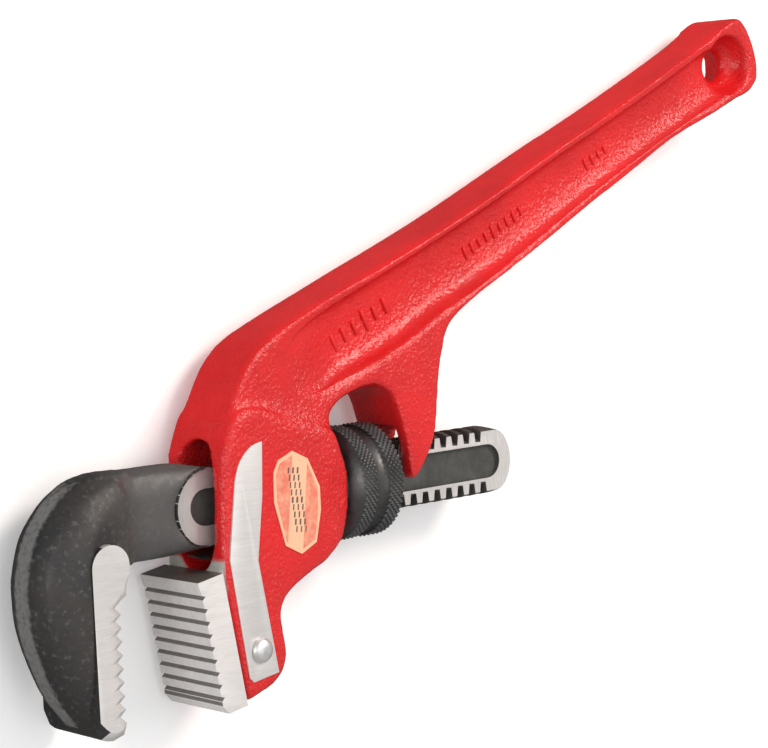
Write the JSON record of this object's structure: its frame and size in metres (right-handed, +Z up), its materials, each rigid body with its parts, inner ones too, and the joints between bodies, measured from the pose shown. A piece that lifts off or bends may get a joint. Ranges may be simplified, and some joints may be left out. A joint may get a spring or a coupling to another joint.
{
  "type": "pipe wrench",
  "caption": "Offset-handle pipe wrench with a screw-adjusted toothed hook jaw, a pinned heel jaw and a ribbed cast grip with a hanging hole.",
  "frame": {"origin": "under the middle of the wrench's bounding box, on the surface it lies on", "axes": "+X along the jaw's shank towards its tail, which is the long way of the wrench; +Y towards the grip's side; +Z up, square to the wrench's flat side"},
  "size_m": [0.2852, 0.1826, 0.032],
  "materials": {
    "enamel": "gloss enamel over sand-cast iron",
    "forged_steel": "black forged scale, ground bright on the thread flats and teeth",
    "ground_steel": "ground",
    "bright_steel": "bright",
    "black_oxide": "black oxide, knurled",
    "spring_steel": "oiled spring steel",
    "decal": "printed film"
  },
  "bodies": {
    "handle": {"handle": "enamel", "heel_jaw": "ground_steel", "heel_jaw_pin": "bright_steel", "flat_spring": "spring_steel", "spring_rivet": "bright_steel", "side_label": "decal"},
    "spring_seat": {"coil_spring": "spring_steel"},
    "nut": {"adjusting_nut": "black_oxide"},
    "jaw": {"hook_jaw": "forged_steel"}
  },
  "joints": [
    {"name": "jaw_rock", "type": "hinge", "parent": "handle", "child": "spring_seat", "pos_m": [-0.03495, -0.03714, 0.016], "axis": [0, 0, 1], "range_deg": [-2, 0.5], "stiffness_Nm_per_rad": 25, "deforming": ["flat_spring", "coil_spring"]},
    {"name": "nut_spin", "type": "hinge", "parent": "spring_seat", "child": "nut", "pos_m": [-0.03495, -0.03714, 0.016], "axis": [1, 0, 0], "range_deg": [-1560, 2890]},
    {"name": "jaw_slide", "type": "slide", "parent": "spring_seat", "child": "jaw", "axis": [1, 0, 0], "range_m": [-0.037, 0.02]}
  ],
  "couplings": [
    {"joint": "nut_spin", "follows": "jaw_slide", "rad_per_m": -1360}
  ]
}
